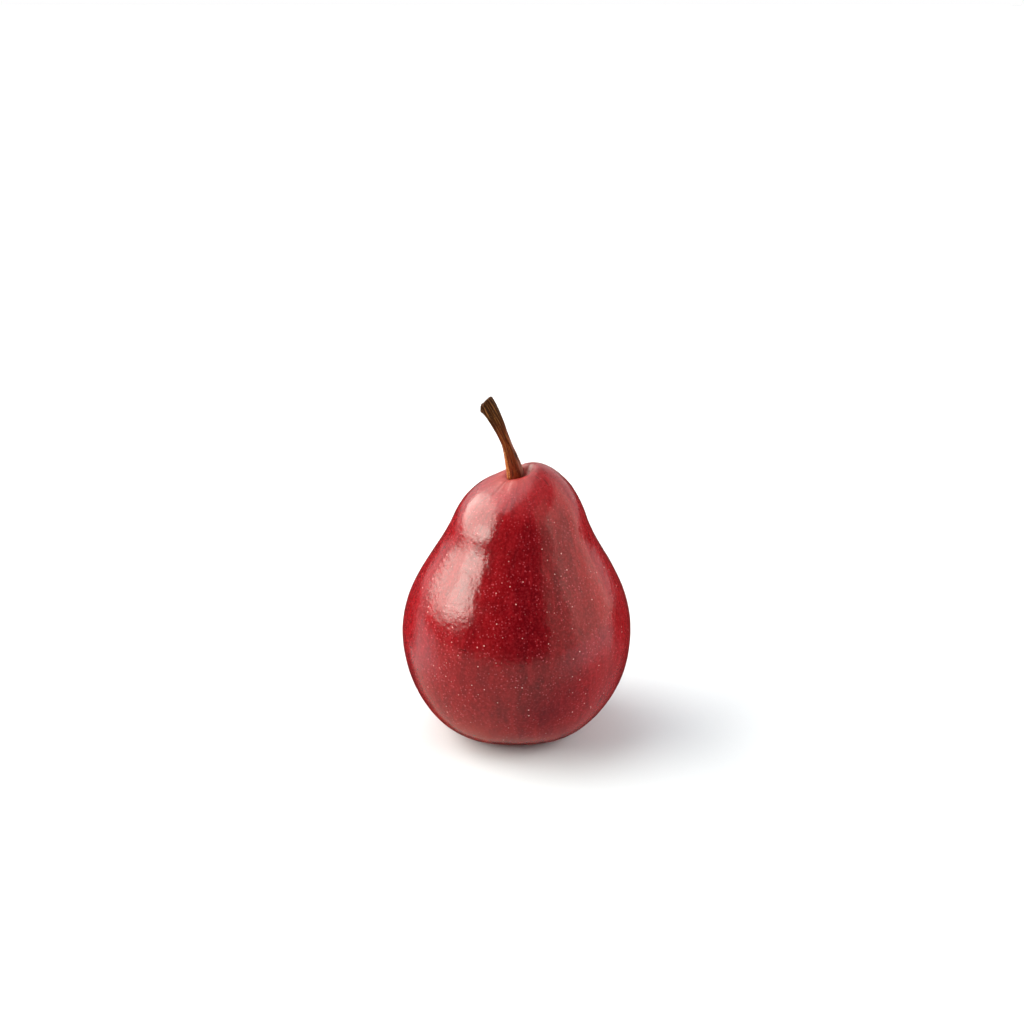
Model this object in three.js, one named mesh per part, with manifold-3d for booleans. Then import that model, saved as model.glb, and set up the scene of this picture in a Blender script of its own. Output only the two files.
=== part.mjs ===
// A red-skinned pear as picked: the fruit, its woody stem, and the dried calyx in the basin underneath.
// Millimetres, +Z up. The origin is on the surface that the pear stands on, under the middle of the belly.

import * as THREE from "three";
import { mergeVertices } from "three/addons/utils/BufferGeometryUtils.js";
import Module from "manifold-3d";

const wasm = await Module();
wasm.setup();

// ---------- driving dimensions ----------

// Fruit outline, from the blossom end up to the crown.
const BELLY_RADIUS = 37; // widest part
const BELLY_HEIGHT = 32.7; // height of the widest part
const NECK_RADIUS = 21.7; // where the neck turns into the shoulder
const NECK_HEIGHT = 72;
const NECK_SLOPE = THREE.MathUtils.degToRad(20.5); // the neck's side, measured from upright
const CROWN_HEIGHT = 83.7; // top of the plain round crown, before the lip swells it

// How full the outline is: the reach of each curve's handle.
const BASE_FULLNESS = 20.5;
const BELLY_DROP = 9;
const BELLY_RISE = 16.5;
const NECK_LOWER_REACH = 14;
const NECK_UPPER_REACH = 14.8;
const CROWN_BREADTH = 9.6;

// Flat ring that the pear rests on, and the basin inside it.
const REST_OUTER_RADIUS = 12.4;
const REST_INNER_RADIUS = 9.5;
const BASIN_DEPTH = 7;
const BASIN_FLOOR_REACH = 6;
const BASIN_LIP_REACH = 2;

// Uneven growth.
const NECK_LEAN = 1.5; // how far the crown leans towards +X
const LIP_RISE = 7.8; // fleshy lip beside the stem
const LIP_OFFSET = 5.3; // its middle, from the pear's axis
const LIP_SPREAD = 11.4;
const BELLY_OVAL = 0.006; // share by which the belly is out of round
const SHOULDER_RIDGES = 0.014; // three soft ridges round the shoulder
const BASE_RIBS = 0.022; // five soft ribs, one over each seed chamber

// Hollow that the stem stands in, longer from side to side than from front to back.
const STEM_OFFSET = 0; // along X
const CAVITY_DEPTH = 5.4;
const CAVITY_REACH_X = 3.8;
const CAVITY_REACH_Y = 3.3;
const CAVITY_SHIFT = 1.1; // the hollow's middle lies this far from the stem, towards the lip
const CAVITY_POWER = 1.35; // over 1 makes the floor flatter and the walls steeper

// Stem.
const STEM_LENGTH = 28.4; // along its middle, above the seat
const STEM_ROOT = 4; // length rooted in the flesh
const STEM_ROOT_RADIUS = 1.9;
const STEM_FOOT_RADIUS = 2.7; // where it leaves the flesh
const STEM_WAIST_RADIUS = 1.6;
const STEM_KNOB_RADIUS = 2.75; // the thickened end that parted from the twig
const STEM_LEAN_SIDE = 10.6; // how far the end leans towards -X
const STEM_LEAN_BACK = 5.6; // and towards +Y
const STEM_CUT_SLOPE = 0.23; // slant of the end, rise over run
const SEAT_GAP = 0.3; // clearance between touching pieces

// Calyx: five dried sepals round a small cup of dried stamens.
const SEPAL_COUNT = 5;
const SEPAL_LENGTH = 5;
const SEPAL_WIDTH = 3.1;
const SEPAL_THICKNESS = 0.55;
const SEPAL_LIFT = 0.5; // how far the tip stands off the basin's wall, past the gap
const CUP_RADIUS = 2.5;
const CUP_THICKNESS = 0.9;
const STAMEN_COUNT = 10;
const STAMEN_LENGTH = 2.3;
const STAMEN_RADIUS = 0.3;

// Fineness of the facets.
const ROUND_STEPS = 56;
const STEM_ROUND_STEPS = 16;
const STEM_RINGS = 22;

// ---------- materials ----------

const skin = new THREE.MeshStandardMaterial({ color: 0x8c1420, roughness: 0.36, metalness: 0 });
const bark = new THREE.MeshStandardMaterial({ color: 0x6b4a2a, roughness: 0.75, metalness: 0 });
const driedSepal = new THREE.MeshStandardMaterial({ color: 0x4b3220, roughness: 0.9, metalness: 0 });
const driedStamen = new THREE.MeshStandardMaterial({ color: 0x33241a, roughness: 0.95, metalness: 0 });

// ---------- helpers ----------

const { clamp, smoothstep } = THREE.MathUtils;
const point2 = (x, y) => new THREE.Vector2(x, y);
const point3 = (x, y, z) => new THREE.Vector3(x, y, z);

// Moves every vertex of a geometry by a function that changes the point it is given.
function reshape(geometry, move) {
  const places = geometry.getAttribute("position");
  const point = new THREE.Vector3();
  for (let i = 0; i < places.count; i++) {
    point.fromBufferAttribute(places, i);
    move(point);
    places.setXYZ(i, point.x, point.y, point.z);
  }
  geometry.computeVertexNormals();
  return geometry;
}

// A lathe's axis is Y, and the pear's is Z.
function turned(outline, steps) {
  return new THREE.LatheGeometry(outline, steps).rotateX(Math.PI / 2);
}

function toSolid(geometry) {
  const bare = geometry.clone();
  bare.deleteAttribute("normal");
  bare.deleteAttribute("uv");
  const merged = mergeVertices(bare, 1e-4);
  return new wasm.Manifold(
    new wasm.Mesh({
      numProp: 3,
      vertProperties: new Float32Array(merged.attributes.position.array),
      triVerts: new Uint32Array(merged.index.array),
    }),
  );
}

function toGeometry(solid) {
  const mesh = solid.getMesh();
  const geometry = new THREE.BufferGeometry();
  geometry.setAttribute("position", new THREE.BufferAttribute(mesh.vertProperties, mesh.numProp));
  geometry.setIndex(new THREE.BufferAttribute(mesh.triVerts, 1));
  geometry.computeVertexNormals();
  return geometry;
}

function named(name, geometry, material) {
  const mesh = new THREE.Mesh(geometry, material);
  mesh.name = name;
  return mesh;
}

// ---------- fruit ----------

// The basin's wall in section, from its floor on the axis to the flat ring.
const basinWall = new THREE.CubicBezierCurve(
  point2(0, BASIN_DEPTH),
  point2(BASIN_FLOOR_REACH, BASIN_DEPTH),
  point2(REST_INNER_RADIUS - BASIN_LIP_REACH, 0),
  point2(REST_INNER_RADIUS, 0),
);

// The outline in section, as radius and height: basin, flat ring, belly, neck and crown.
function fruitOutline() {
  const neck = point2(NECK_RADIUS, NECK_HEIGHT);
  const alongNeck = point2(-Math.sin(NECK_SLOPE), Math.cos(NECK_SLOPE));
  const base = new THREE.CubicBezierCurve(
    point2(REST_OUTER_RADIUS, 0),
    point2(REST_OUTER_RADIUS + BASE_FULLNESS, 0),
    point2(BELLY_RADIUS, BELLY_HEIGHT - BELLY_DROP),
    point2(BELLY_RADIUS, BELLY_HEIGHT),
  );
  const side = new THREE.CubicBezierCurve(
    point2(BELLY_RADIUS, BELLY_HEIGHT),
    point2(BELLY_RADIUS, BELLY_HEIGHT + BELLY_RISE),
    neck.clone().addScaledVector(alongNeck, -NECK_LOWER_REACH),
    neck,
  );
  const crown = new THREE.CubicBezierCurve(
    neck,
    neck.clone().addScaledVector(alongNeck, NECK_UPPER_REACH),
    point2(CROWN_BREADTH, CROWN_HEIGHT),
    point2(0, CROWN_HEIGHT),
  );
  const outline = [
    ...basinWall.getSpacedPoints(8),
    ...base.getSpacedPoints(10),
    ...side.getSpacedPoints(9).slice(1),
  ];
  // The crown's rings crowd towards the stem, where the hollow is.
  const crownRings = 17;
  for (let i = 1; i <= crownRings; i++) {
    outline.push(crown.getPoint(1 - (1 - i / crownRings) ** 1.6));
  }
  outline[0].x = 0;
  outline.at(-1).x = 0;
  return outline;
}

// Turns the plain round pear into a grown one.
function growUnevenly(point) {
  const angle = Math.atan2(point.y, point.x);
  const radius = Math.hypot(point.x, point.y);
  const up = clamp((point.z - BELLY_HEIGHT) / (CROWN_HEIGHT - BELLY_HEIGHT), 0, 1);
  const down = clamp((BELLY_HEIGHT - point.z) / BELLY_HEIGHT, 0, 1);
  const nearAxis = 1 - smoothstep(radius, 0, REST_OUTER_RADIUS);

  const oval = BELLY_OVAL * Math.cos(2 * (angle - 0.6));
  const ridges = SHOULDER_RIDGES * Math.sin(Math.PI * up) * Math.cos(3 * (angle + 0.5));
  const ribs = BASE_RIBS * down ** 2 * Math.cos(SEPAL_COUNT * (angle - 0.3)) * (1 - nearAxis);
  const swell = 1 + oval + ridges + ribs;
  point.x *= swell;
  point.y *= swell;

  // The neck leans, and the rings near the top close in on the stem instead of on the axis.
  point.x += NECK_LEAN * up ** 2;
  if (up > 0) {
    point.x += (STEM_OFFSET - NECK_LEAN) * Math.exp(-((radius / CAVITY_REACH_X) ** 2));
  }

  const crownShare = clamp(2 * up - 1, 0, 1);
  point.z += crownShare * (lipRise(point.x, point.y) - cavityDrop(point.x, point.y));
}

function lipRise(x, y) {
  return LIP_RISE * Math.exp(-((x - LIP_OFFSET) ** 2 + y ** 2) / LIP_SPREAD ** 2);
}

function cavityDrop(x, y) {
  const alongX = (x - STEM_OFFSET - CAVITY_SHIFT) / CAVITY_REACH_X;
  const alongY = y / CAVITY_REACH_Y;
  return CAVITY_DEPTH * Math.exp(-((alongX ** 2 + alongY ** 2) ** CAVITY_POWER));
}

// Height of the hollow's floor under the stem.
function seatHeight() {
  return CROWN_HEIGHT + lipRise(STEM_OFFSET, 0) - cavityDrop(STEM_OFFSET, 0);
}

// ---------- stem ----------

// The stem's middle, from the end of its root to its cut end. It leaves upright and leans more as it rises.
function stemMiddle(rootLength) {
  const seat = seatHeight();
  const rise = Math.sqrt(STEM_LENGTH ** 2 - STEM_LEAN_SIDE ** 2 - STEM_LEAN_BACK ** 2);
  const along = (share, side, back) =>
    point3(STEM_OFFSET - STEM_LEAN_SIDE * side, STEM_LEAN_BACK * back, seat + rise * share);
  return new THREE.CatmullRomCurve3([
    point3(STEM_OFFSET + 0.2, 0, seat - rootLength),
    along(0, 0, 0),
    along(0.2, 0.09, 0.15),
    along(0.42, 0.27, 0.36),
    along(0.62, 0.47, 0.57),
    along(0.82, 0.73, 0.8),
    along(1, 1, 1),
  ]);
}

// The stem's half thickness along its length, from the end of the root to the cut end.
function stemRadii(rootLength) {
  const whole = rootLength + STEM_LENGTH;
  const station = (height, radius) => point2(radius, (rootLength + height) / whole);
  return new THREE.SplineCurve([
    point2(STEM_ROOT_RADIUS, 0),
    station(0, STEM_ROOT_RADIUS + 0.3),
    station(3.2, STEM_FOOT_RADIUS),
    station(8, (STEM_FOOT_RADIUS + STEM_WAIST_RADIUS) / 2),
    station(13.5, STEM_WAIST_RADIUS),
    station(19.5, STEM_WAIST_RADIUS + 0.1),
    station(24.5, (STEM_KNOB_RADIUS + STEM_WAIST_RADIUS) / 2),
    station(28, STEM_KNOB_RADIUS),
    point2(STEM_KNOB_RADIUS - 0.25, 1),
  ]);
}

// The stem, or with a gap added all round, the socket that it leaves in the flesh.
function stemGeometry(gap) {
  const rootLength = STEM_ROOT + gap;
  const middle = stemMiddle(rootLength);
  const outline = stemRadii(rootLength)
    .getSpacedPoints(STEM_RINGS)
    .map((p) => point2(p.x + gap, p.y));
  outline[0].y = 0;
  outline.at(-1).y = 1;
  const rounded = (p, share) => point2(p.x * share, p.y);
  outline.unshift(point2(0, 0), rounded(outline[0], 0.6));
  outline.push(rounded(outline.at(-1), 0.55), point2(0, 1));

  return reshape(turned(outline, STEM_ROUND_STEPS), (point) => {
    const share = clamp(point.z, 0, 1);
    const along = middle.getTangentAt(share);
    const across = point3(0, 1, 0).cross(along).normalize();
    const back = along.clone().cross(across);
    // The cut end slants down towards the side that the stem leans to.
    const slant = STEM_CUT_SLOPE * point.x * smoothstep(share, 0.9, 1);
    const { x, y } = point;
    point.copy(middle.getPointAt(share));
    point.addScaledVector(across, x).addScaledVector(back, y).addScaledVector(along, slant);
  });
}

// ---------- calyx ----------

// A place on the basin's wall, this far along it from the axis and standing off it by this much.
function offBasinWall(distance, standOff) {
  const share = clamp(distance / basinWall.getLength(), 0, 1);
  const place = basinWall.getPointAt(share);
  const tangent = basinWall.getTangentAt(share);
  return place.add(point2(tangent.y, -tangent.x).multiplyScalar(standOff));
}

// One dried sepal: a pointed blade that starts at the cup's rim and follows the wall outwards.
function sepalGeometry() {
  const half = SEPAL_WIDTH / 2;
  const blade = new THREE.Shape();
  blade.moveTo(-half * 0.7, 0);
  blade.bezierCurveTo(-half * 1.25, SEPAL_LENGTH * 0.35, -half * 0.75, SEPAL_LENGTH * 0.75, 0, SEPAL_LENGTH);
  blade.bezierCurveTo(half * 0.75, SEPAL_LENGTH * 0.75, half * 1.25, SEPAL_LENGTH * 0.35, half * 0.7, 0);
  const flat = new THREE.ExtrudeGeometry(blade, {
    depth: SEPAL_THICKNESS,
    bevelEnabled: false,
    curveSegments: 7,
  });
  return reshape(flat, (point) => {
    const share = point.y / SEPAL_LENGTH;
    const channel = 0.12 * point.x ** 2; // the edges curl away from the wall
    const standOff = SEAT_GAP + SEPAL_LIFT * (0.4 + share ** 2) + channel + (SEPAL_THICKNESS - point.z);
    const place = offBasinWall(CUP_RADIUS + SEAT_GAP + 0.5 + point.y, standOff);
    point.set(place.x, -point.x, place.y);
  });
}

// The dried cup in the middle, with the stubs of the stamens that stand on its rim.
function stamenGeometry() {
  const roof = [];
  const roofSteps = 4;
  for (let i = 0; i <= roofSteps; i++) {
    roof.push(offBasinWall((CUP_RADIUS * i) / roofSteps, SEAT_GAP));
  }
  roof[0].x = 0;
  const rim = roof.at(-1);
  const under = rim.y - CUP_THICKNESS;
  const outline = [point2(0, under + 0.5), point2(CUP_RADIUS * 0.45, under + 0.35), point2(rim.x * 0.85, under)];
  let cup = toSolid(turned([...outline, ...roof.reverse()], 20));
  for (let i = 0; i < STAMEN_COUNT; i++) {
    const inner = i % 2 === 1;
    const stub = new THREE.CylinderGeometry(STAMEN_RADIUS, STAMEN_RADIUS * 0.6, STAMEN_LENGTH, 6);
    stub.rotateX(Math.PI / 2);
    stub.translate(0, 0, -STAMEN_LENGTH / 2);
    stub.rotateY(inner ? -0.1 : -0.3);
    stub.translate(rim.x * (inner ? 0.36 : 0.68), 0, under + 0.65);
    stub.rotateZ((2 * Math.PI * i) / STAMEN_COUNT);
    cup = cup.add(toSolid(stub));
  }
  return toGeometry(cup);
}

// ---------- assembly ----------

const pear = new THREE.Group();

const flesh = reshape(turned(fruitOutline(), ROUND_STEPS), growUnevenly);
const socket = toSolid(stemGeometry(SEAT_GAP));
pear.add(named("fruit", toGeometry(toSolid(flesh).subtract(socket)), skin));

pear.add(named("stem", stemGeometry(0), bark));

for (let i = 0; i < SEPAL_COUNT; i++) {
  const sepal = named(`sepal_${i + 1}`, sepalGeometry(), driedSepal);
  sepal.rotation.z = (2 * Math.PI * i) / SEPAL_COUNT + 0.3;
  pear.add(sepal);
}

pear.add(named("stamen_cup", stamenGeometry(), driedStamen));

export default pear;
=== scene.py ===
"""A fresh red pear: waxy speckled skin, a woody stem in its hollow, and the dried calyx underneath."""

import math
import random

import bmesh
import bpy
from bpy.props import FloatProperty, FloatVectorProperty, IntProperty, PointerProperty
from mathutils import Matrix, Quaternion, Vector, noise


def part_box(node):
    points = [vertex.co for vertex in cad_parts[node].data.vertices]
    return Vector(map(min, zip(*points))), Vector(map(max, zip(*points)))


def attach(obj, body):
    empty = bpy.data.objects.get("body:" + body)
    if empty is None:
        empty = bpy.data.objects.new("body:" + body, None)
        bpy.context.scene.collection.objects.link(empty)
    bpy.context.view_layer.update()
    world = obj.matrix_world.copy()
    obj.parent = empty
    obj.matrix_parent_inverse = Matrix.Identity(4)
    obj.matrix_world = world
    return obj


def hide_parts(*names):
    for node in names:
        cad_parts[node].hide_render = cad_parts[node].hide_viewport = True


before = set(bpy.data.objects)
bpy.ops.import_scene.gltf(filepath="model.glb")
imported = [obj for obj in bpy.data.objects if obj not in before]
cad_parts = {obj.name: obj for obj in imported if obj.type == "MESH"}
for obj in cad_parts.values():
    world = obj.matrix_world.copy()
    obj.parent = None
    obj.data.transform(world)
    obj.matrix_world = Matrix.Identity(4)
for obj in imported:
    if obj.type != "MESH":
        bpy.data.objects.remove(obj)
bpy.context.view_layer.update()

bl_info = {
    "name": "Fresh Pear",
    "version": (1, 0, 0),
    "blender": (4, 5, 0),
    "location": "View3D > Sidebar > Pear",
    "description": "Builds a fresh pear with its stem, its dried calyx and a plain studio",
    "category": "Add Mesh",
}

MM = 0.001
RIBS = 5  # low on the fruit, with a sepal for each
RIBS_TURN = 0.3  # where the first one is, in radians from +X
FRUIT_LOW, FRUIT_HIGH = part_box("fruit")
_, STEM_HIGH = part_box("stem")


# ---------- small helpers ----------


def clamp(value, low=0.0, high=1.0):
    return max(low, min(high, value))


def smooth(value, low, high):
    """0 below low, 1 above high, and an S-shaped ramp between them."""
    share = clamp((value - low) / (high - low))
    return share * share * (3 - 2 * share)


def bell(distance, reach):
    return math.exp(-((distance / reach) ** 2))


def bezier(a, b, c, d, share):
    rest = 1 - share
    weights = (rest**3, 3 * rest**2 * share, 3 * rest * share**2, share**3)
    return sum((weight * Vector(point) for weight, point in zip(weights, (a, b, c, d))), Vector((0, 0)))


def linear(hex_colour):
    """An sRGB hex colour as linear RGBA."""
    channels = [int(hex_colour[i : i + 2], 16) / 255 for i in (1, 3, 5)]
    return [c / 12.92 if c <= 0.04045 else ((c + 0.055) / 1.055) ** 2.4 for c in channels] + [1.0]


def hex_default(hex_colour):
    return linear(hex_colour)[:3]


def colour_of(value):
    return [*value, 1.0]


def grey(level):
    return [level, level, level, 1.0]


# ---------- settings ----------


def length_setting(name, description, millimetres):
    default = millimetres * MM
    return FloatProperty(
        name=name, description=description, default=default, min=0, unit="LENGTH", subtype="DISTANCE"
    )


def colour_setting(name, description, hex_colour):
    default = hex_default(hex_colour)
    return FloatVectorProperty(
        name=name, description=description, default=default, min=0, max=1, size=3, subtype="COLOR"
    )


def radiance_setting(name, description, radiance):
    return FloatProperty(name=name, description=description, default=radiance, min=0)


class FruitSettings(bpy.types.PropertyGroup):
    belly_radius: length_setting("Belly radius", "Radius at the widest part", 37)
    belly_height: length_setting("Belly height", "Height of the widest part", 32.7)
    neck_radius: length_setting("Neck radius", "Radius where the neck turns into the shoulder", 21.7)
    neck_height: length_setting("Neck height", "Height where the neck turns into the shoulder", 72)
    crown_height: length_setting("Crown height", "Top of the crown before its lip swells it", 83.7)
    rest_outer: length_setting("Resting ring outside", "Outer radius of the flat ring it stands on", 12.4)
    rest_inner: length_setting("Resting ring inside", "Inner radius of the flat ring it stands on", 9.5)
    basin_depth: length_setting("Basin depth", "Depth of the calyx basin underneath", 7)
    dent_height: length_setting("Skin unevenness", "Height of the skin's shallow swells", 0.1)
    rings: IntProperty(name="Rings", description="Rings of faces from basin to crown", default=250, min=60)
    segments: IntProperty(name="Segments", description="Faces round the fruit", default=380, min=60)
    # Deep and bright red mix partly as real blotches and partly as painted light: deep red is painted shade
    # on the front, bright red painted light on the sides.
    deep_red: colour_setting("Deep red", "Skin where it is ripest", "#64040C")
    bright_red: colour_setting("Bright red", "Skin that the sun reached", "#770A10")
    speckle: colour_setting("Lenticels", "The skin's breathing pores", "#E6A29C")


class StemSettings(bpy.types.PropertyGroup):
    length: length_setting("Length", "Length above the seat", 28.4)
    root: length_setting("Root", "Length below the seat", 3)
    foot_radius: length_setting("Foot radius", "Half thickness where it leaves the flesh", 2.7)
    waist_radius: length_setting("Waist radius", "Half thickness at its thinnest", 1.6)
    knob_radius: length_setting("Knob radius", "Half thickness of the cut end", 2.4)
    lean_side: length_setting("Lean to the side", "How far the end leans towards -X", 9.9)
    lean_back: length_setting("Lean back", "How far the end leans towards +Y", 5.6)
    bark: colour_setting("Bark", "Olive-brown bark", "#3A1E08")
    foot: colour_setting("Foot", "Redder bark at the foot", "#742812")


class CalyxSettings(bpy.types.PropertyGroup):
    sepal_length: length_setting("Sepal length", "From the cup to the tip", 5)
    sepal_width: length_setting("Sepal width", "Across the widest part", 3.1)
    sepal_thickness: length_setting("Sepal thickness", "Thickness of the dried blade", 0.35)
    cup_radius: length_setting("Cup radius", "Radius of the dried stamen cup", 2.5)
    stamen_length: length_setting("Stamen length", "Longest dried stamen", 2.6)
    sepal_colour: colour_setting("Sepals", "Dried brown sepals", "#4A3120")
    stamen_colour: colour_setting("Stamens", "Darker dried stamens", "#2E2017")


class StudioSettings(bpy.types.PropertyGroup):
    distance: length_setting("Camera distance", "From the belly's middle to the camera", 925)
    pitch: FloatProperty(
        name="Camera pitch", description="Angle below level", default=math.radians(25), subtype="ANGLE"
    )
    lens: FloatProperty(name="Lens", description="Focal length in millimetres", default=100, min=10)
    left_light: radiance_setting("Left softbox", "Radiance of the main light", 7.9)
    right_light: radiance_setting("Right panel", "Radiance of the dim panels", 1.05)
    fill_light: radiance_setting("Right fill", "Radiance of the unseen fill", 4.2)
    top_light: radiance_setting("Top panel", "Radiance of the light above", 2.2)


# ---------- nodes and patterns ----------


def add_node(tree, kind, *inputs, output=None, **settings):
    """Adds a shader node and gives one output: the first in use, or the one that is named.

    Inputs in order go to the sockets in use. A setting is the node's own attribute, or an input by name.
    An input is linked if it is a socket, and set if it is a value.
    """
    node = tree.nodes.new(f"ShaderNode{kind}")
    named = []
    for key, value in settings.items():
        if hasattr(node, key):
            setattr(node, key, value)
        else:
            named.append((node.inputs[key], value))
    in_use = [socket for socket in node.inputs if socket.enabled]
    for socket, value in [*zip(in_use, inputs), *named]:
        if isinstance(value, bpy.types.NodeSocket):
            tree.links.new(value, socket)
        else:
            socket.default_value = value
    if output:
        return node.outputs[output]
    return next(socket for socket in node.outputs if socket.enabled)


def new_material(name, **shader_settings):
    material = bpy.data.materials.new(name)
    material.use_nodes = True
    shader = material.node_tree.nodes["Principled BSDF"]
    for key, value in shader_settings.items():
        shader.inputs[key.replace("_", " ")].default_value = value
    return material, material.node_tree, shader


def coverage(tree, *ramps):
    """How much a coat covers: the product of S-shaped ramps.

    Each ramp has a pattern, the two values that it rises between, and what it goes from and to, or 0 and 1.
    """
    covered = None
    for ramp in ramps:
        eased = add_node(tree, "MapRange", *ramp, interpolation_type="SMOOTHSTEP")
        covered = add_node(tree, "Math", covered, eased, operation="MULTIPLY") if covered else eased
    return covered


def paint_over(tree, colour, *coats):
    """Lays coats over a colour. Each has its colour, and the ramps that say where it covers."""
    for paint, *ramps in coats:
        colour = add_node(tree, "Mix", coverage(tree, *ramps), colour, paint, data_type="RGBA")
    return colour


def far_from(tree, place, centre, reach):
    """How far a place is from a centre, 1 where it is as far as the reach on each axis."""
    moved = add_node(tree, "VectorMath", place, centre, operation="SUBTRACT")
    scaled = add_node(tree, "Mapping", moved, Scale=[1 / length for length in reach])
    return add_node(tree, "VectorMath", scaled, operation="LENGTH")


def pores_at(tree, place, spacing, radius, soft):
    """Round pores in cells of this spacing: 1 inside one, 0 outside. Also gives each cell's own number."""
    distance = add_node(tree, "TexVoronoi", place, Scale=1 / spacing)
    inside = coverage(tree, (distance, (radius - soft) / spacing, (radius + soft) / spacing, 1, 0))
    return inside, add_node(tree, "SeparateColor", distance.node.outputs["Color"])


def scratch_at(tree, place, centre, turn, size):
    """A soft-edged oval scratch: its centre, its turn round Z in degrees, and its size."""
    moved = add_node(tree, "VectorMath", place, centre, operation="SUBTRACT")
    turned = add_node(tree, "VectorRotate", moved, rotation_type="Z_AXIS", Angle=math.radians(-turn))
    return coverage(tree, (far_from(tree, turned, Vector((0, 0, 0)), size), 0.35, 1, 0.75, 0))


def give_relief(tree, shader, *reliefs):
    """Lays reliefs over one another on a finish. Each is a height from 0 to 1 and its depth in metres."""
    below = {}
    for height, depth in reliefs:
        below = {"Normal": add_node(tree, "Bump", Height=height, Distance=depth, **below)}
    tree.links.new(below["Normal"], shader.inputs["Normal"])


# ---------- mesh helpers ----------


def finish_piece(shape, name, material, nodes, sharp_angle=math.radians(60)):
    """Turns a bmesh into a piece of the part: it rides on the root and stands for its CAD nodes."""
    mesh = bpy.data.meshes.new(name)
    shape.to_mesh(mesh)
    shape.free()
    mesh.materials.append(material)
    mesh.shade_smooth()
    mesh.set_sharp_from_angle(angle=sharp_angle)
    piece = bpy.data.objects.new(name, mesh)
    bpy.context.scene.collection.objects.link(piece)
    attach(piece, "root")
    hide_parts(*nodes)
    return piece


def spun(outline, segments, lengths=None):
    """Spins an outline of (radius, height) round Z. Each point's length along the outline is kept on it."""
    shape = bmesh.new()
    along = shape.verts.layers.float_vector.new("skin_flow")
    verts = []
    for i, (radius, height) in enumerate(outline):
        vert = shape.verts.new((radius, 0, height))
        vert[along] = (0, 0, lengths[i] if lengths else height)
        verts.append(vert)
    edges = [shape.edges.new(pair) for pair in zip(verts, verts[1:])]
    bmesh.ops.spin(
        shape,
        geom=verts + edges,
        cent=(0, 0, 0),
        axis=(0, 0, 1),
        dvec=(0, 0, 0),
        angle=math.tau,
        steps=segments,
        use_merge=True,
        use_duplicate=False,
    )
    bmesh.ops.remove_doubles(shape, verts=shape.verts, dist=1e-7)
    bmesh.ops.recalc_face_normals(shape, faces=shape.faces)
    for vert in shape.verts:
        angle = math.atan2(vert.co.y, vert.co.x)
        vert[along] = (math.cos(angle), math.sin(angle), vert[along].z)
    return shape


def join(shape, part):
    """Moves a part's mesh into a shape."""
    mesh = bpy.data.meshes.new("part")
    part.to_mesh(mesh)
    part.free()
    shape.from_mesh(mesh)
    bpy.data.meshes.remove(mesh)


def fit_between(shape, low, high):
    """Scales a shape so that its box is the one between two corners."""
    points = [v.co for v in shape.verts]
    own_low = [min(p[i] for p in points) for i in range(3)]
    own_high = [max(p[i] for p in points) for i in range(3)]
    for vert in shape.verts:
        for i in range(3):
            share = (vert.co[i] - own_low[i]) / (own_high[i] - own_low[i])
            vert.co[i] = low[i] + share * (high[i] - low[i])


# ---------- the fruit ----------

NECK_SLOPE = math.radians(20.5)
STEM_PLACE = Vector((0.0, 0.0))  # where the stem stands, seen from above
CAVITY_DEPTH = 5.4 * MM
CAVITY_REACH = Vector((3.8, 3.3)) * MM
CAVITY_SHIFT = 1.1 * MM
CAVITY_POWER = 1.35
LIP_RISE = 7.8 * MM
LIP_OFFSET = 5.3 * MM
LIP_SPREAD = 11.4 * MM
NECK_LEAN = 1.5 * MM
# Each has its middle and how far it reaches on each axis. The first is where the front of the skin is
# painted deep red as painted shade, with the skin round it painted brighter as painted light. The second is
# where the crown top is painted paler, as painted light from above.
SHADED_FRONT = (Vector((9.5, -33, 54)) * MM, Vector((15.5, 26, 60)) * MM)
LIT_CROWN = (Vector((5, -12, 86)) * MM, Vector((18, 13, 11)) * MM)
# Each has its middle, its turn round Z in degrees, and its size.
SCRATCHES = (
    (Vector((9.2, -6.4, 88.6)) * MM, -42, Vector((2.3, 0.28, 4)) * MM),
    (Vector((6.6, -5.6, 89.6)) * MM, -35, Vector((1.4, 0.22, 4)) * MM),
    (Vector((-17, -31, 42)) * MM, 20, Vector((1.5, 4, 0.3)) * MM),
)


def basin_wall(settings, share):
    """A point of the basin's wall in section, from its floor on the axis to the flat ring."""
    depth, edge = settings.basin_depth, settings.rest_inner
    return bezier((0, depth), (6 * MM, depth), (edge - 2 * MM, 0), (edge, 0), share)


def fruit_outline(settings):
    """The fruit in section: basin, flat ring, base, side and crown."""
    neck = Vector((settings.neck_radius, settings.neck_height))
    along = Vector((-math.sin(NECK_SLOPE), math.cos(NECK_SLOPE)))
    belly, height, top = settings.belly_radius, settings.belly_height, settings.crown_height
    inner, outer = settings.rest_inner, settings.rest_outer
    base = ((outer, 0), (outer + 20.5 * MM, 0), (belly, height - 9 * MM), (belly, height))
    side = ((belly, height), (belly, height + 16.5 * MM), neck - along * 14 * MM, neck)
    crown = (neck, neck + along * 14.8 * MM, (9.6 * MM, top), (0, top))
    counts = [round(settings.rings * part) for part in (0.12, 0.03, 0.22, 0.23, 0.4)]
    outline = [basin_wall(settings, i / counts[0]) for i in range(counts[0])]
    outline += [Vector((inner + (outer - inner) * i / counts[1], 0)) for i in range(counts[1])]
    outline += [bezier(*base, i / counts[2]) for i in range(counts[2])]
    outline += [bezier(*side, i / counts[3]) for i in range(counts[3])]
    outline += [bezier(*crown, 1 - (1 - i / counts[4]) ** 1.6) for i in range(counts[4] + 1)]
    return outline


def lip_rise(x, y):
    return LIP_RISE * math.exp(-((x - LIP_OFFSET) ** 2 + y**2) / LIP_SPREAD**2)


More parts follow.
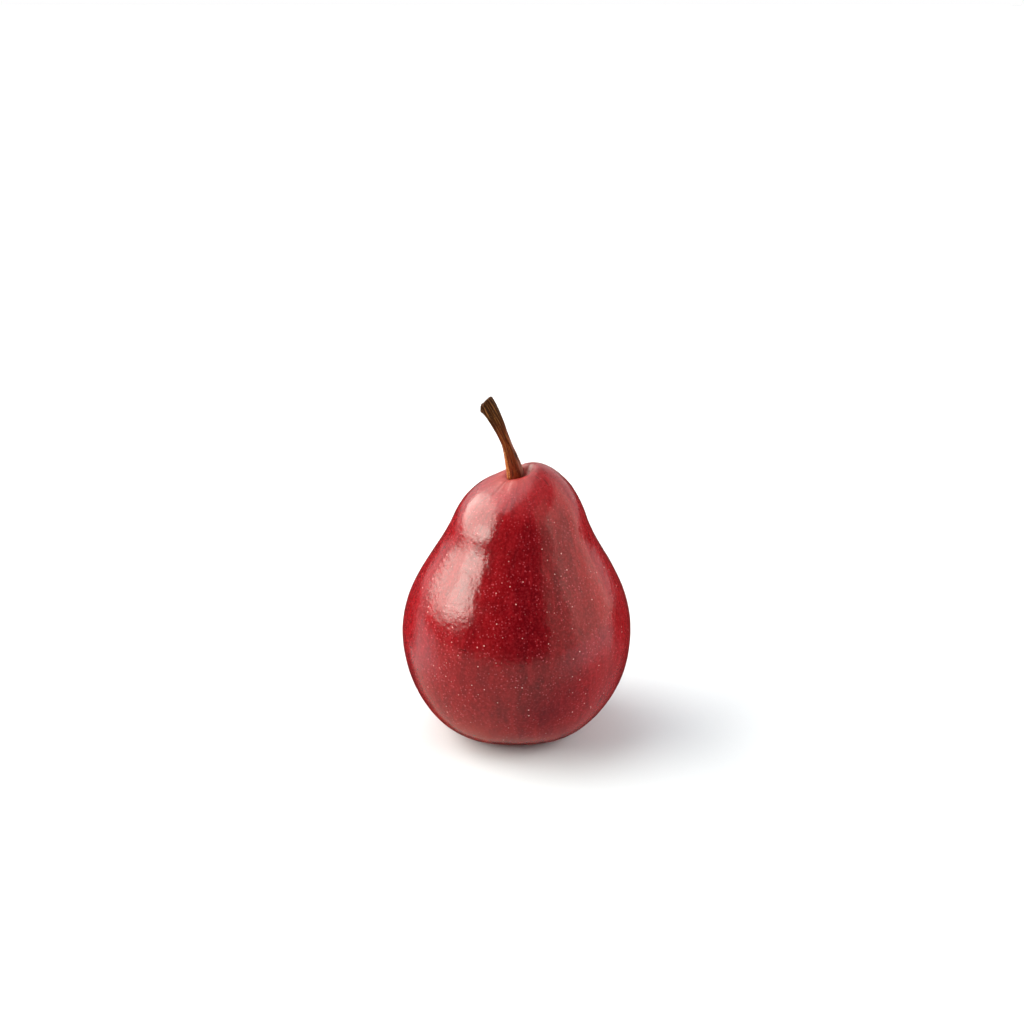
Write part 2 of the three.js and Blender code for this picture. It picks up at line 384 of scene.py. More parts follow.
def cavity_drop(x, y):
    across = (x - STEM_PLACE.x - CAVITY_SHIFT) / CAVITY_REACH.x
    back = (y - STEM_PLACE.y) / CAVITY_REACH.y
    return CAVITY_DEPTH * math.exp(-((across**2 + back**2) ** CAVITY_POWER))


def seat_height(settings):
    return settings.crown_height + lip_rise(*STEM_PLACE) - cavity_drop(*STEM_PLACE)


def pleats(x, y):
    """Soft folds that run out from the hollow over the fleshy lip."""
    radius, angle = math.hypot(x, y), math.atan2(y, x)
    waver = noise.noise(Vector((math.cos(angle) * 3, math.sin(angle) * 3, radius * 60)))
    fold = 0.5 + 0.5 * math.sin(5 * angle + 3 * waver)
    reach = smooth(radius, 2.5 * MM, 5.5 * MM) * (1 - smooth(radius, 6 * MM, 13 * MM))
    return -0.16 * MM * fold**2 * reach


def grow_unevenly(point, settings):
    """Turns the plain round pear into a grown one, as the solid fruit grows, with folds in the crown."""
    angle = math.atan2(point.y, point.x)
    radius = math.hypot(point.x, point.y)
    belly = settings.belly_height
    up = clamp((point.z - belly) / (settings.crown_height - belly))
    down = clamp((belly - point.z) / belly)
    oval = 0.006 * math.cos(2 * (angle - 0.6))
    ridges = 0.014 * math.sin(math.pi * up) * math.cos(3 * (angle + 0.5))
    ribs = 0.022 * down**2 * math.cos(RIBS * (angle - RIBS_TURN)) * smooth(radius, 0, settings.rest_outer)
    swell = 1 + oval + ridges + ribs
    point.x *= swell
    point.y *= swell
    point.x += NECK_LEAN * up**2
    if up > 0:
        point.x += (STEM_PLACE.x - NECK_LEAN) * bell(radius, CAVITY_REACH.x)
    crown_share = clamp(2 * up - 1)
    if crown_share > 0:
        from_stem = math.hypot(point.x - STEM_PLACE.x, point.y - STEM_PLACE.y)
        collar = 0.5 * MM * bell(from_stem - 2.2 * MM, 1.1 * MM)
        rise = lip_rise(point.x, point.y) - cavity_drop(point.x, point.y)
        point.z += crown_share * (rise + collar + pleats(point.x, point.y))


def swells(point, height):
    """Shallow swells of growing skin, broad ones and smaller ones, drawn out a little from stem to base."""
    total = 0.0
    for size, share, shift in ((16, 1.5, 0), (6.5, 0.9, 7), (2.8, 0.28, 31)):
        place = Vector((point.x, point.y, point.z / 1.4)) / (size * MM)
        total += share * noise.noise(place + Vector((shift, shift, shift)))
    return height * total


def make_fruit_mesh(settings):
    outline = fruit_outline(settings)
    lengths = [0.0]
    for a, b in zip(outline, outline[1:]):
        lengths.append(lengths[-1] + (b - a).length)
    shape = spun(outline, settings.segments, lengths)
    for vert in shape.verts:
        grow_unevenly(vert.co, settings)
    shape.normal_update()
    for vert in shape.verts:
        # The ring that it rests on stays flat.
        free = smooth(vert.co.z, 0.3 * MM, 6 * MM)
        vert.co += vert.normal * swells(vert.co, settings.dent_height) * free
    fit_between(shape, FRUIT_LOW, FRUIT_HIGH)
    return shape


def make_skin_material(settings, seat):
    """Waxed pear cuticle over ripe red cells: a soft clear gloss, a grainy red under it, and pale pores."""
    material, tree, shader = new_material("waxy_pear_skin", IOR=1.47)
    place = add_node(tree, "TexCoord", output="Object")
    across, height = (add_node(tree, "SeparateXYZ", place, output=axis) for axis in "XZ")
    from_stem = add_node(tree, "VectorMath", place, (*STEM_PLACE, seat), operation="DISTANCE")
    flat = add_node(tree, "Mapping", place, Scale=(1, 1, 0))
    from_axis = add_node(tree, "VectorMath", flat, operation="LENGTH")

    # Red cells in blotches, broad streaks and narrow ones 1 to 2 mm wide, drawn out from stem to base.
    # The grain of the cells is drawn coarser than they are, so that it shows.
    flow = add_node(tree, "Attribute", attribute_name="skin_flow", output="Vector")
    narrow = add_node(tree, "Mapping", flow, Scale=(26, 26, 260))
    wide = add_node(tree, "Mapping", flow, Scale=(8, 8, 70))
    streak = add_node(tree, "TexNoise", narrow, Scale=1, Detail=3, Roughness=0.6, Distortion=0.6)
    broad = add_node(tree, "TexNoise", wide, Scale=1, Distortion=0.4)
    blotch = add_node(tree, "TexNoise", place, Scale=1 / (20 * MM), Detail=3)
    grain = add_node(tree, "TexNoise", place, Scale=1 / (0.8 * MM))
    # Away from the front middle the red is painted brighter: painted light on the sides, mixed with random
    # blotches.
    off_shaded_front = far_from(tree, place, *SHADED_FRONT)
    lit_sides_and_blotches = add_node(tree, "Math", blotch, 0.5, off_shaded_front, operation="MULTIPLY_ADD")
    red = paint_over(
        tree,
        colour_of(settings.deep_red),
        (colour_of(settings.bright_red), (lit_sides_and_blotches, 0.8, 1.35)),
        # Paler red on the crown top: painted light from above.
        (linear("#A01E24"), (far_from(tree, place, *LIT_CROWN), 0.5, 1, 0.32, 0)),
        # Brighter red towards +X: painted light on the right side.
        (linear("#8C1A1C"), (across, 0, 30 * MM, 0, 0.35)),
        (linear("#A01C22"), (streak, 0.5, 0.72, 0, 0.24)),
        (linear("#44030A"), (streak, 0.3, 0.48, 0.28, 0)),
        (linear("#981820"), (broad, 0.52, 0.72, 0, 0.3)),
        (linear("#48040B"), (broad, 0.3, 0.48, 0.33, 0)),
        (linear("#B03038"), (grain, 0.45, 0.7, 0, 0.17)),
        (linear("#40030A"), (grain, 0.3, 0.5, 0.25, 0)),
        # Low down the red is painted lighter, as painted light from the pale floor, broken up by broad
        # streaks.
        (linear("#9A241E"), (height, 4 * MM, 22 * MM, 1, 0), (broad, 0.3, 0.7, 0.4, 0.85)),
    )

    # Pores: a dense field of faint ones about 0.5 mm across, and scattered larger pale ones.
    fine, _ = pores_at(tree, place, 1.1 * MM, 0.22 * MM, 0.15 * MM)
    patches = add_node(tree, "TexNoise", place, Scale=1 / (9 * MM))
    patchy = coverage(tree, (patches, 0.35, 0.65, 0.08, 0.5))
    faint = add_node(tree, "Math", fine, patchy, operation="MULTIPLY")
    large, number = pores_at(tree, place, 2 * MM, 0.2 * MM, 0.12 * MM)
    chosen = coverage(tree, (number, 0.55, 1, 0.1, 1), (height, 60 * MM, 80 * MM, 1, 0.45))
    large = add_node(tree, "Math", large, chosen, operation="MULTIPLY")
    red = add_node(tree, "Mix", faint, red, linear("#C4505A"), data_type="RGBA")
    red = add_node(tree, "Mix", large, red, colour_of(settings.speckle), data_type="RGBA")
    for centre, turn, size in SCRATCHES:
        scratch = scratch_at(tree, place, centre, turn, size)
        red = add_node(tree, "Mix", scratch, red, linear("#3A0608"), data_type="RGBA")

    # Round the stem the red thins to orange, and the basin underneath is corky russet.
    red = paint_over(tree, red, (linear("#A8381C"), (from_stem, 2 * MM, 11 * MM, 0.4, 0)))
    russet = coverage(tree, (from_axis, 4 * MM, 12 * MM, 1, 0), (height, 4 * MM, 12 * MM, 1, 0))
    crumbs = add_node(tree, "TexNoise", place, Scale=1 / (1.6 * MM), Detail=4)
    cork = paint_over(tree, linear("#5E3E20"), (linear("#8A6236"), (crumbs, 0.35, 0.65)))
    red = add_node(tree, "Mix", russet, red, cork, data_type="RGBA")
    tree.links.new(red, shader.inputs["Base Color"])

    # The wax is uneven, russet is rough, and the wax is thin round the stem.
    wax = add_node(tree, "TexNoise", place, Scale=1 / (4 * MM), Detail=4)
    rough = coverage(tree, (wax, 0.3, 0.7, 0.13, 0.21))
    rough = add_node(tree, "Math", russet, 0.4, rough, operation="MULTIPLY_ADD")
    dull = coverage(tree, (from_stem, 5 * MM, 18 * MM, 0.25, 0))
    tree.links.new(add_node(tree, "Math", rough, dull, operation="ADD"), shader.inputs["Roughness"])

    squat = add_node(tree, "Mapping", place, Scale=(1, 1, 0.7))
    ripple = add_node(tree, "TexNoise", squat, Scale=1 / (4 * MM), Distortion=0.6)
    pebble = add_node(tree, "TexNoise", place, Scale=1 / (1.4 * MM))
    give_relief(
        tree, shader, (ripple, 0.13 * MM), (pebble, 0.07 * MM), (fine, 0.012 * MM), (large, 0.03 * MM)
    )
    return material


# ---------- the stem ----------

ROOT_RADIUS = 2.1 * MM
COLLAR_TOP = 3.2 * MM
STEM_RINGS = 150
STEM_FACETS = 96
RIM_HEIGHT = 0.55 * MM  # of the rounding at the cut end
RIM_INSIDE = 0.84  # share of the end's radius where its hollow starts
HOLLOW_DEPTH = 0.45 * MM
# Where round the stem each is, in radians from +X.
RIB_ANGLE = 3.5
TORN_LIP_ANGLE = 3.3
GROOVE_ANGLE = 4.05


def stem_middle(settings, seat, share):
    """The stem's middle at a share of its length; below 0 it goes straight down into the flesh."""
    rise = math.sqrt(settings.length**2 - settings.lean_side**2 - settings.lean_back**2)
    if share < 0:
        return Vector((STEM_PLACE.x, STEM_PLACE.y, seat + share * settings.length))
    side = settings.lean_side * share**1.65
    back = settings.lean_back * share**1.2
    return Vector((STEM_PLACE.x - side, STEM_PLACE.y + back, seat + rise * share))


def stem_radius(settings, height):
    """Half the stem's thickness at this height above its seat, measured along it."""
    foot, waist, knob = settings.foot_radius, settings.waist_radius, settings.knob_radius
    if height < COLLAR_TOP:
        return ROOT_RADIUS + (foot - ROOT_RADIUS) * smooth(height, -1 * MM, COLLAR_TOP)
    taper = foot + (waist - foot) * smooth(height, 2 * MM, 15 * MM)
    return taper + (knob - waist) * smooth(height, 14 * MM, 27 * MM)


def make_stem_mesh(settings, seat):
    whole = settings.root + settings.length - RIM_HEIGHT
    outline = []
    for i in range(STEM_RINGS + 1):
        height = -settings.root + whole * i / STEM_RINGS
        outline.append((stem_radius(settings, height), height))
    rim, top = outline[-1]
    inside = RIM_INSIDE * rim
    for t in (math.pi / 16 * i for i in range(1, 9)):
        outline.append((inside + (rim - inside) * math.cos(t), top + RIM_HEIGHT * math.sin(t)))
    for share in (1 - i / 9 for i in range(1, 10)):
        outline.append((inside * share, top + RIM_HEIGHT - HOLLOW_DEPTH * (1 - share**2)))
    outline.insert(0, (0, outline[0][1]))
    shape = spun(outline, STEM_FACETS)
    for vert in shape.verts:
        bend_stem_point(vert.co, settings, seat)
    stretch = (STEM_HIGH.z - seat) / (max(vert.co.z for vert in shape.verts) - seat)
    for vert in shape.verts:
        if vert.co.z > seat:
            vert.co.z = seat + (vert.co.z - seat) * stretch
    shape.normal_update()
    return shape


def bend_stem_point(point, settings, seat):
    """Wrinkles the bark lengthwise, then bends the straight stem along its middle."""
    height = point.z
    radius, angle = math.hypot(point.x, point.y), math.atan2(point.y, point.x)
    rim = stem_radius(settings, height)
    outer = smooth(radius, 0.6 * rim, rim)
    share = height / settings.length
    round_place = Vector((math.cos(angle), math.sin(angle), 0))
    ridge = noise.noise(round_place * 2.6 + Vector((0, 0, height / (11 * MM))))
    fine = noise.noise(round_place * 7 + Vector((5, 0, height / (6 * MM))))
    lumps = noise.noise(round_place * 1.3 + Vector((0, 9, height / (4 * MM))))
    radius += outer * (0.3 * ridge + 0.14 * fine + 0.12 * lumps) * MM
    # The end carries a torn lip on its left, with a groove beside it.
    near_end = smooth(height, settings.length - 4 * MM, settings.length - 1.5 * MM)
    torn_lip = bell(math.remainder(angle - TORN_LIP_ANGLE, math.tau), 0.42)
    groove = bell(math.remainder(angle - GROOVE_ANGLE, math.tau), 0.3)
    radius += outer * near_end * (0.5 * torn_lip - 0.45 * groove) * MM
    # A rib runs up the lower left side and ends in a little step.
    rib = bell(math.remainder(angle - RIB_ANGLE, math.tau), 0.5) * smooth(height, -2 * MM, 2 * MM)
    rib *= 1 - smooth(height, 10.5 * MM, 14.5 * MM)
    radius += outer * 0.34 * MM * rib
    x, y = radius * math.cos(angle), radius * math.sin(angle)

    # The cut slants and droops at the torn lip, and broken fibres stand up on it.
    lift = 0.2 * x - 0.9 * MM * torn_lip * smooth(radius, 0.5 * rim, rim)
    if share > 0.985:
        lift += 0.12 * MM * noise.noise(Vector((x, y, 0)) / (0.5 * MM))
        lift += 0.3 * MM * noise.noise(Vector((x, y, 3)) / (1.6 * MM))
    lift *= smooth(share, 0.9, 1)
    middle = stem_middle(settings, seat, share)
    ahead = stem_middle(settings, seat, share + 0.01) - stem_middle(settings, seat, share - 0.01)
    along = ahead.normalized()
    across = Vector((0, 1, 0)).cross(along).normalized()
    back = along.cross(across)
    point.xyz = middle + across * x + back * y + along * lift


def make_bark_material(settings):
    """Dry pear wood bark: matte and wrinkled lengthwise, redder at the foot, with a corky rib low down."""
    material, tree, shader = new_material("pear_stem_bark", IOR=1.4, Specular_IOR_Level=0.1)
    place = add_node(tree, "TexCoord", output="Object")
    flow = add_node(tree, "Attribute", attribute_name="skin_flow", output="Vector")
    across, height = (add_node(tree, "SeparateXYZ", flow, output=axis) for axis in "XZ")
    drawn_out = add_node(tree, "Mapping", flow, Scale=(5, 5, 160))
    lines = add_node(tree, "TexNoise", drawn_out, Scale=1, Detail=4, Roughness=0.6)
    flecks = add_node(tree, "TexNoise", place, Scale=1 / (0.5 * MM), Detail=1)
    wavering = add_node(tree, "Math", lines, 4 * MM, height, operation="MULTIPLY_ADD")
    bark = paint_over(
        tree,
        colour_of(settings.foot),
        (linear("#64280A"), (wavering, 6 * MM, 14 * MM)),
        (colour_of(settings.bark), (wavering, 17 * MM, 26 * MM)),
        # The +X side low on the stem is painted a pinkish grey: a painted sheen of the lights at the right.
        (linear("#8E6258"), (height, 14 * MM, 20 * MM, 1, 0), (across, 0.55, 0.95, 0, 0.7)),
    )
    # The rib is corky and orange, and most of the flecks are on it.
    rib_side = (math.cos(RIB_ANGLE), math.sin(RIB_ANGLE), 0)
    toward_rib = add_node(tree, "VectorMath", flow, rib_side, operation="DOT_PRODUCT")
    corky = coverage(tree, (wavering, 12 * MM, 18 * MM, 1, 0), (toward_rib, 0.78, 0.95))
    bark = add_node(tree, "Mix", corky, bark, linear("#8E4A22"), data_type="RGBA")
    bark = paint_over(
        tree,
        bark,
        (linear("#1E0D04"), (lines, 0.36, 0.54, 0.85, 0)),
        (linear("#96602E"), (lines, 0.55, 0.68, 0, 0.6)),
    )
    flecked = add_node(tree, "Math", corky, 0.05, operation="MAXIMUM")
    specks = coverage(tree, (flecks, 0.56, 0.68, 0, 0.8))
    speck = add_node(tree, "Math", specks, flecked, operation="MULTIPLY")
    bark = add_node(tree, "Mix", speck, bark, linear("#D8A070"), data_type="RGBA")
    # Darker at the very foot, where the stem stands in the hollow: painted shade.
    bark = paint_over(tree, bark, (linear("#3A0A08"), (height, 0, 3 * MM, 0.8, 0)))
    tree.links.new(bark, shader.inputs["Base Color"])
    tree.links.new(coverage(tree, (lines, 0.3, 0.7, 0.45, 0.7)), shader.inputs["Roughness"])
    give_relief(tree, shader, (lines, 0.18 * MM), (flecks, 0.015 * MM))
    return material


# ---------- the calyx ----------


def wall_frame(settings, distance, fruit):
    """A place on the basin's wall this far along it from the axis, and the way out of the flesh there."""
    steps = 60
    points = [basin_wall(fruit, i / steps) for i in range(steps + 1)]
    travelled = 0.0
    for a, b in zip(points, points[1:]):
        length = (b - a).length
        if travelled + length >= distance:
            along = (b - a).normalized()
            return a + along * (distance - travelled), Vector((along.y, -along.x))
        travelled += length
    along = (points[-1] - points[-2]).normalized()
    return points[-1], Vector((along.y, -along.x))


def make_sepal_mesh(settings, fruit, number):
    """A pointed dried blade with a ridged middle, ragged edges and a curled tip, along the basin's wall."""
    rng = random.Random(40 + number)
    curl, twist = rng.uniform(0.4, 1.3), rng.uniform(-0.25, 0.25)
    shape = bmesh.new()
    bmesh.ops.create_grid(shape, x_segments=26, y_segments=44, size=1)
    length, half = settings.sepal_length, settings.sepal_width / 2
    turn = Matrix.Rotation(math.tau * (number - 1) / RIBS + RIBS_TURN, 3, "Z")
    for vert in shape.verts:
        across, share = vert.co.x, (vert.co.y + 1) / 2
        outline = (0.75 + 0.55 * math.sin(math.pi * share**0.7)) * (1 - share**2.6) + 0.02
        ragged = 1 + 0.16 * noise.noise(Vector((share * 9, number * 3, across))) * abs(across)
        width = half * outline * ragged * across
        veins = 0.07 * MM * math.cos(across * 9) * (1 - share)
        crumple = 0.22 * MM * noise.noise(Vector((across * 1.7, share * 5, number * 5)))
        cupped = 0.35 * MM * across**2 + 0.12 * MM * bell(across, 0.12)
        stand_off = 0.5 * MM + curl * MM * share**2.5 + cupped + veins + crumple
        start = settings.cup_radius + 0.5 * MM
        middle, outward = wall_frame(settings, start + length * share, fruit)
        place = middle + outward * stand_off
        sideways = width * math.cos(0.3 * across) + twist * MM * share**2
        vert.co = turn @ Vector((place.x, -sideways, max(place.y, 0.6 * MM)))
    bmesh.ops.recalc_face_normals(shape, faces=shape.faces)
    bmesh.ops.solidify(shape, geom=shape.faces[:], thickness=settings.sepal_thickness)
    bmesh.ops.recalc_face_normals(shape, faces=shape.faces)
    return shape


def make_stamen_mesh(settings, fruit):
    """The withered cup in the basin's middle, with a ring of thread-like stamens and the styles' stubs."""
    rng = random.Random(7)
    radius = settings.cup_radius
    roof = fruit.basin_depth - 0.15 * MM
    lower = roof - 1.0 * MM
    outline = []
    for share in (i / 24 for i in range(24)):
        outline.append((radius * 0.95 * share, lower + 0.7 * MM * (1 - share) ** 1.5))
    for share in (i / 8 for i in range(9)):
        outline.append((radius * (0.97 + 0.06 * math.sin(math.pi * share)), lower + 0.95 * MM * share))
    outline.append((0, roof - 0.02 * MM))
    shape = spun(outline, 72)
    for vert in shape.verts:
        angle = math.atan2(vert.co.y, vert.co.x)
        from_axis = math.hypot(vert.co.x, vert.co.y) / radius
        wrinkle = math.sin(15 * angle + 3 * noise.noise(Vector((math.cos(angle), math.sin(angle), 1)) * 2))
        vert.co.z += 0.09 * MM * wrinkle * from_axis
        vert.co.xy = vert.co.xy * (1 + 0.03 * wrinkle * from_axis)
    count = 20
    for i in range(count):
        ring = radius * (0.78 if i % 2 else 0.6)
        angle = math.tau * (i + rng.uniform(-0.3, 0.3)) / count
        length = settings.stamen_length * rng.uniform(0.6, 1.0)
        add_thread(shape, rng, ring, angle, roof - 0.8 * MM, length, 0.16 * MM, anther=i % 3 != 0)
    for i in range(RIBS):
        angle = math.tau * i / RIBS
        add_thread(shape, rng, radius * 0.16, angle, roof - 0.3 * MM, 1.9 * MM, 0.2 * MM, anther=False)
    return shape


def add_thread(shape, rng, ring, angle, top, length, thickness, anther):
    """Adds one dried thread that hangs from the cup and curls, with a shrivelled anther on some."""
    thread = bmesh.new()
    bmesh.ops.create_cone(
        thread, cap_ends=True, segments=7, radius1=thickness * 0.45, radius2=thickness, depth=length
    )
    edges = [edge for edge in thread.edges if edge.calc_length() > length / 2]
    bmesh.ops.subdivide_edges(thread, edges=edges, cuts=8)
    flare, sway, hook = rng.uniform(0.1, 0.5), rng.uniform(-0.4, 0.4), rng.uniform(-0.5, 1.1)
    turn = Matrix.Rotation(angle, 3, "Z")

    def hang(down):
        reach = ring + length * (flare * down + hook * 0.5 * down**3)
        return turn @ Vector((reach, sway * length * down**2, top - length * down * 0.95))

    for vert in thread.verts:
        down = clamp(0.5 - vert.co.z / length)
        vert.co = hang(down) + turn @ Vector((vert.co.x, vert.co.y, 0))
    if anther:
        blob = bmesh.ops.create_icosphere(thread, subdivisions=2, radius=thickness * 1.9)["verts"]
        tip = hang(1.0)
        for vert in blob:
            lumpy = 1 + 0.3 * noise.noise(vert.co / (0.25 * MM))
            vert.co = tip + Vector((vert.co.x * 1.1, vert.co.y * 0.7, vert.co.z * 1.3)) * lumpy
    join(shape, thread)


def make_dried_material(name, colour, pale, roughness):
    """Dried calyx tissue: papery, matte and brown, with darker veins and paler dusty spots."""
    material, tree, shader = new_material(name, IOR=1.45, Roughness=roughness)
    place = add_node(tree, "TexCoord", output="Object")
    mottle = add_node(tree, "TexNoise", place, Scale=1 / (1.2 * MM), Detail=4, Roughness=0.65)
    fuzz = add_node(tree, "TexNoise", place, Scale=1 / (0.3 * MM))
    brown = paint_over(
        tree,
        linear(pale),
        (colour_of(colour), (mottle, 0.35, 0.65)),
        (linear("#B09070"), (fuzz, 0.5, 0.75, 0, 0.5)),
    )
    tree.links.new(brown, shader.inputs["Base Color"])
    give_relief(tree, shader, (mottle, 0.15 * MM), (fuzz, 0.06 * MM))
    return material


# ---------- the studio ----------

# Each panel's place as seen from the fruit: azimuth 0 is in front and 90 is at +X. Lengths are in metres.
LEFT_BOX = {"azimuth": -99, "elevation": 30.5, "distance": 1.5, "width": 2.75, "height": 1.27, "roll": 0}
LEFT_EDGE = {"azimuth": -66, "elevation": 23.5, "distance": 1.35, "width": 0.95, "height": 0.34, "roll": 8}
RIGHT_NEAR = {"azimuth": 49, "elevation": 29, "distance": 1.5, "width": 0.76, "height": 1.8}
RIGHT_FAR = {"azimuth": 89, "elevation": 19, "distance": 1.5, "width": 1.75, "height": 1.3}
RIGHT_FILL = {"azimuth": 88, "elevation": 18, "distance": 1.5, "width": 1.5, "height": 1.4}
TOP_PANEL = {"azimuth": -125, "elevation": 70, "distance": 1.8, "width": 2.0, "height": 1.1}
FLOOR_HALF = 0.9
PALE_TABLE = (0.7, 0.66, 0.56, 1.0)


def add_panel(
    name, radiance, colour, azimuth, elevation, distance, width, height, roll=0, shape="RECTANGLE"
):
    """A soft light aimed at the fruit's middle, turned by its roll about its own axis."""
    light = bpy.data.lights.new(name, "AREA")
    light.shape = shape
    light.size, light.size_y = width, height
    area = width * height * (math.pi / 4 if shape == "ELLIPSE" else 1)
    light.energy = radiance * math.pi * area
    light.color = hex_default(colour)
    holder = bpy.data.objects.new(name, light)
    bpy.context.scene.collection.objects.link(holder)
    turn, tilt = math.radians(azimuth), math.radians(elevation)
    target = Vector((0, 0, 50 * MM))
    away = Vector((math.sin(turn) * math.cos(tilt), -math.cos(turn) * math.cos(tilt), math.sin(tilt)))
    holder.location = target + away * distance
    aimed = (-away).to_track_quat("-Z", "Y") @ Quaternion((0, 0, 1), math.radians(roll))
    holder.rotation_euler = aimed.to_euler()
    return holder


def make_floor():
    """A plain pale floor. It ends inside the ring of lights, and past it the backdrop is white."""
    shape = bmesh.new()
    bmesh.ops.create_grid(shape, x_segments=1, y_segments=1, size=FLOOR_HALF)
    mesh = bpy.data.meshes.new("floor")
    shape.to_mesh(mesh)
    shape.free()
    material, _, _ = new_material(
        "matte_white_floor", Roughness=0.6, IOR=1.35, Base_Color=linear("#CFD5DA")
    )
    mesh.materials.append(material)
    floor = bpy.data.objects.new("floor", mesh)
    bpy.context.scene.collection.objects.link(floor)
    # The table's reflection comes from the world, which is darker behind the fruit.
    floor.visible_glossy = False


def make_world():
    """White to the camera. The fruit sees a dark room in front, a pale backdrop behind and a pale table."""
    world = bpy.data.worlds.new("studio")
    bpy.context.scene.world = world
    world.use_nodes = True
    tree = world.node_tree
    direction = add_node(tree, "TexCoord", output="Generated")
    side, back, up = (add_node(tree, "SeparateXYZ", direction, output=axis) for axis in "XYZ")
    room = paint_over(tree, grey(0.03), (grey(1.0), (back, 0.1, 0.7)), (grey(0.3), (up, 0.7, 0.95)))
    # The table is bright under the lights on both sides.
    table = paint_over(
        tree,
        PALE_TABLE,
        (grey(1.4), (side, -0.75, -0.4, 1, 0), (back, -0.3, 0.05), (up, -0.66, -0.4)),
        (grey(1.2), (side, 0.6, 0.9), (up, -0.6, -0.25)),
    )
    # It is dark far behind the fruit, and dim at the right, in the fruit's shadow.
    far = coverage(tree, (back, 0.3, 0.6), (up, -0.55, -0.38))
    turned_back = add_node(tree, "Math", side, 0.2, back, operation="MULTIPLY_ADD")
    behind = coverage(tree, (turned_back, 0.4, 0.58))
    dark = add_node(tree, "Math", far, behind, operation="MAXIMUM")
    table = add_node(tree, "Mix", dark, table, grey(0.02), data_type="RGBA")
    sideways = add_node(tree, "Math", side, 0.6, operation="MULTIPLY")
    shaded = add_node(tree, "Math", sideways, up, operation="SUBTRACT")
    table = paint_over(tree, table, (grey(0.3), (shaded, 0.75, 1.1)))
    around = paint_over(tree, table, (room, (up, -0.12, 0)))
    seen = add_node(tree, "LightPath", output="Is Camera Ray")
    shown = add_node(tree, "Mix", seen, around, grey(1), data_type="RGBA")
    tree.links.new(shown, tree.nodes["Background"].inputs["Color"])


def make_camera(settings, belly_height):
    """Looks down at the fruit from the front. The fruit is a little below and right of the middle."""
    data = bpy.data.cameras.new("camera")
    data.lens, data.sensor_width = settings.lens, 36
    camera = bpy.data.objects.new("camera", data)
    bpy.context.scene.collection.objects.link(camera)
    pitch = settings.pitch
    ahead = Vector((0, math.cos(pitch), -math.sin(pitch)))
    up = Vector((0, math.sin(pitch), math.cos(pitch)))
    aside, below = 1.46 * MM, 38.4 * MM
    camera.location = Vector((-aside, 0, belly_height)) - ahead * settings.distance + up * below
    camera.rotation_euler = (math.pi / 2 - pitch, 0, 0)
    bpy.context.scene.camera = camera


# ---------- operators ----------


class PEAR_OT_fruit(bpy.types.Operator):
    """Build the fruit with its waxy skin"""

    bl_idname = "pear.fruit"
    bl_label = "Fruit"

    def execute(self, context):
        settings = context.scene.pear_fruit
        material = make_skin_material(settings, seat_height(settings))
        finish_piece(make_fruit_mesh(settings), "pear_fruit", material, ["fruit"])
        return {"FINISHED"}


class PEAR_OT_stem(bpy.types.Operator):
    """Build the woody stem in its hollow"""

    bl_idname = "pear.stem"
    bl_label = "Stem"

    def execute(self, context):
        settings = context.scene.pear_stem
        seat = seat_height(context.scene.pear_fruit)
        material = make_bark_material(settings)
        finish_piece(make_stem_mesh(settings, seat), "pear_stem", material, ["stem"])
        return {"FINISHED"}


class PEAR_OT_calyx(bpy.types.Operator):
    """Build the dried sepals and stamens in the basin underneath"""

    bl_idname = "pear.calyx"
    bl_label = "Calyx"

    def execute(self, context):
        settings = context.scene.pear_calyx
        fruit = context.scene.pear_fruit
        blade = make_dried_material("dried_sepal_tissue", settings.sepal_colour, "#7A5A3A", 0.85)
        for number in range(1, RIBS + 1):
            node = f"sepal_{number}"
            mesh = make_sepal_mesh(settings, fruit, number)
            finish_piece(mesh, f"dried_{node}", blade, [node])
        thread = make_dried_material("dried_stamen_tissue", settings.stamen_colour, "#5A4430", 0.9)
        mesh = make_stamen_mesh(settings, fruit)
        finish_piece(mesh, "dried_stamens", thread, ["stamen_cup"])
        return {"FINISHED"}


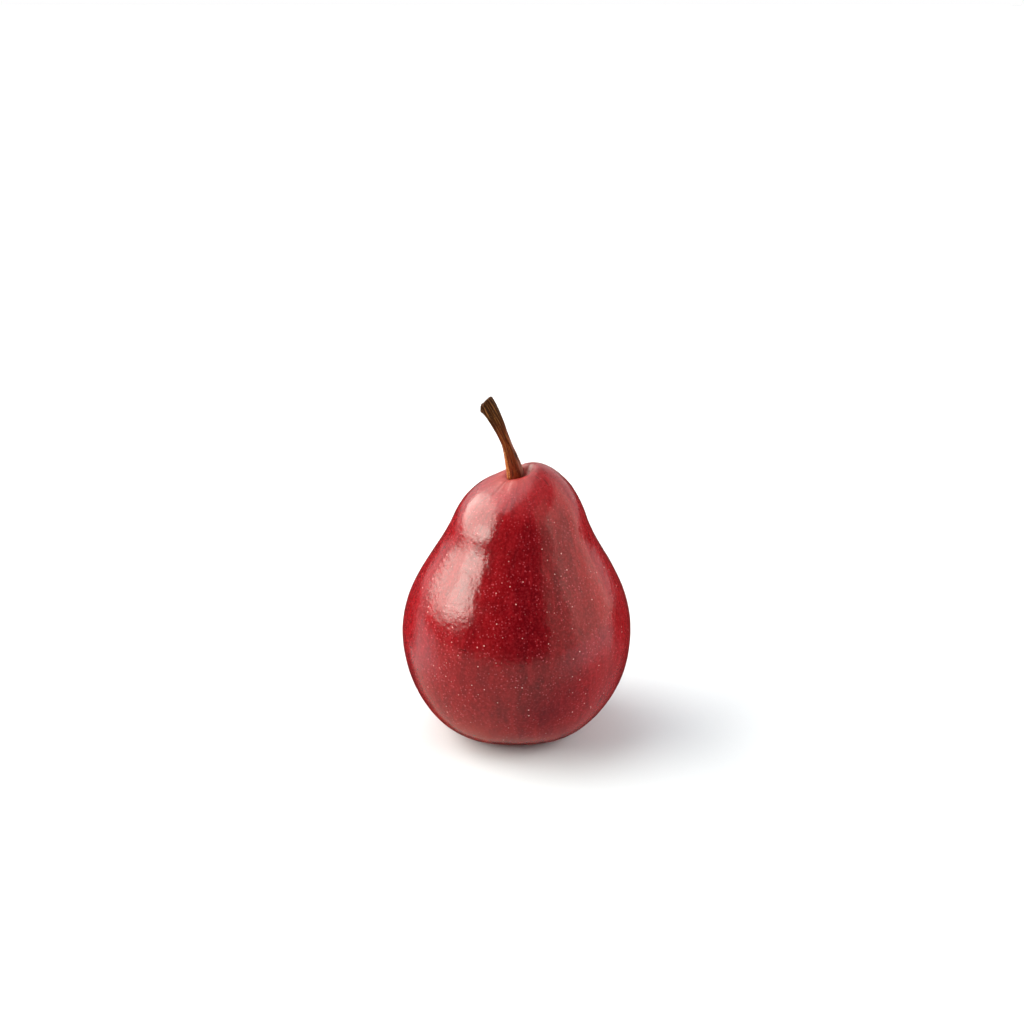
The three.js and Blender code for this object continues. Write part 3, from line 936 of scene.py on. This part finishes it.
class PEAR_OT_studio(bpy.types.Operator):
    """Set up the pale floor, the soft lights and the camera"""

    bl_idname = "pear.studio"
    bl_label = "Studio"

    def execute(self, context):
        settings = context.scene.pear_studio
        make_camera(settings, context.scene.pear_fruit.belly_height)
        make_floor()
        make_world()
        # The softbox fades towards its edge, so it is three, one behind the other.
        for size in (0.8, 1.0, 1.16):
            box = {**LEFT_BOX, "distance": 1.3 + 0.2 * size}
            box.update(width=LEFT_BOX["width"] * size, height=LEFT_BOX["height"] * size)
            add_panel("left_softbox", settings.left_light / 3, "#FFF8ED", **box, shape="ELLIPSE")
        add_panel("left_softbox_edge", settings.left_light * 0.6, "#FFF8ED", **LEFT_EDGE, shape="ELLIPSE")
        add_panel("right_near_panel", settings.right_light * 0.6, "#FFF3DF", **RIGHT_NEAR)
        add_panel("right_far_panel", settings.right_light, "#FFF3DF", **RIGHT_FAR)
        add_panel("top_panel", settings.top_light, "#FFFFFF", **TOP_PANEL)
        # The fill lights the right side without a reflection of its own.
        add_panel("right_fill", settings.fill_light, "#FFFFFF", **RIGHT_FILL).visible_glossy = False
        context.scene.view_settings.view_transform = "Standard"
        return {"FINISHED"}


class PEAR_PT_panel(bpy.types.Panel):
    """Lists the pear's pieces and their sizes and colours"""

    bl_idname = "PEAR_PT_panel"
    bl_label = "Fresh Pear"
    bl_space_type = "VIEW_3D"
    bl_region_type = "UI"
    bl_category = "Pear"

    def draw(self, context):
        groups = (
            (PEAR_OT_fruit, context.scene.pear_fruit),
            (PEAR_OT_stem, context.scene.pear_stem),
            (PEAR_OT_calyx, context.scene.pear_calyx),
            (PEAR_OT_studio, context.scene.pear_studio),
        )
        for operator, settings in groups:
            box = self.layout.box()
            box.operator(operator.bl_idname)
            for name in settings.__annotations__:
                box.prop(settings, name)


SETTINGS = {
    "pear_fruit": FruitSettings,
    "pear_stem": StemSettings,
    "pear_calyx": CalyxSettings,
    "pear_studio": StudioSettings,
}
CLASSES = (*SETTINGS.values(), PEAR_OT_fruit, PEAR_OT_stem, PEAR_OT_calyx, PEAR_OT_studio, PEAR_PT_panel)


def register():
    for item in CLASSES:
        bpy.utils.register_class(item)
    for name, group in SETTINGS.items():
        setattr(bpy.types.Scene, name, PointerProperty(type=group))


def unregister():
    for name in SETTINGS:
        delattr(bpy.types.Scene, name)
    for item in reversed(CLASSES):
        bpy.utils.unregister_class(item)


def main():
    register()
    bpy.ops.pear.studio()
    bpy.ops.pear.fruit()
    bpy.ops.pear.stem()
    bpy.ops.pear.calyx()


if __name__ == "__main__":
    main()
